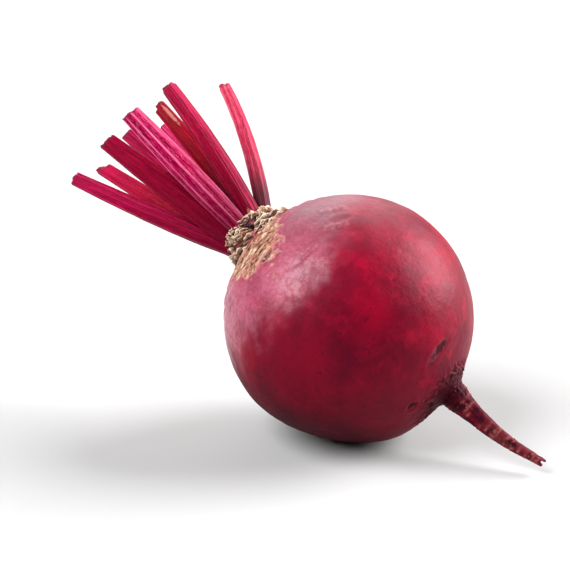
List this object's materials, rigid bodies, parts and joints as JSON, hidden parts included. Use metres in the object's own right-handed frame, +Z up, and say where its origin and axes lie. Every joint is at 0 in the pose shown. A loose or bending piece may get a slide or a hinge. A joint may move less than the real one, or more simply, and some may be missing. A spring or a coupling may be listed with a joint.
{
  "type": "beetroot",
  "caption": "Whole red beetroot lying on its side: round root with a bent taproot, a corky crown and a fan of cut leaf stalks; rests on a small flat spot.",
  "frame": {"origin": "middle of the small flat spot under the globe, on the surface that it lies on", "axes": "+Z up, +X level along the beet towards the taproot's tip, so that the crown and its stalks rise towards -X"},
  "size_m": [0.175, 0.0804, 0.1088],
  "materials": {
    "skin": "satin",
    "corky_crown": "matte",
    "leaf_stalk": "satin"
  },
  "bodies": {
    "root": {"root": "skin", "crown": "corky_crown", "stalk_front_wide": "leaf_stalk", "stalk_tall": "leaf_stalk", "stalk_front_low": "leaf_stalk", "stalk_dark_wide": "leaf_stalk", "stalk_lone": "leaf_stalk", "stalk_two_lobed": "leaf_stalk", "stalk_back": "leaf_stalk", "stalk_bruised": "leaf_stalk", "stalk_middle": "leaf_stalk"}
  },
  "joints": []
}
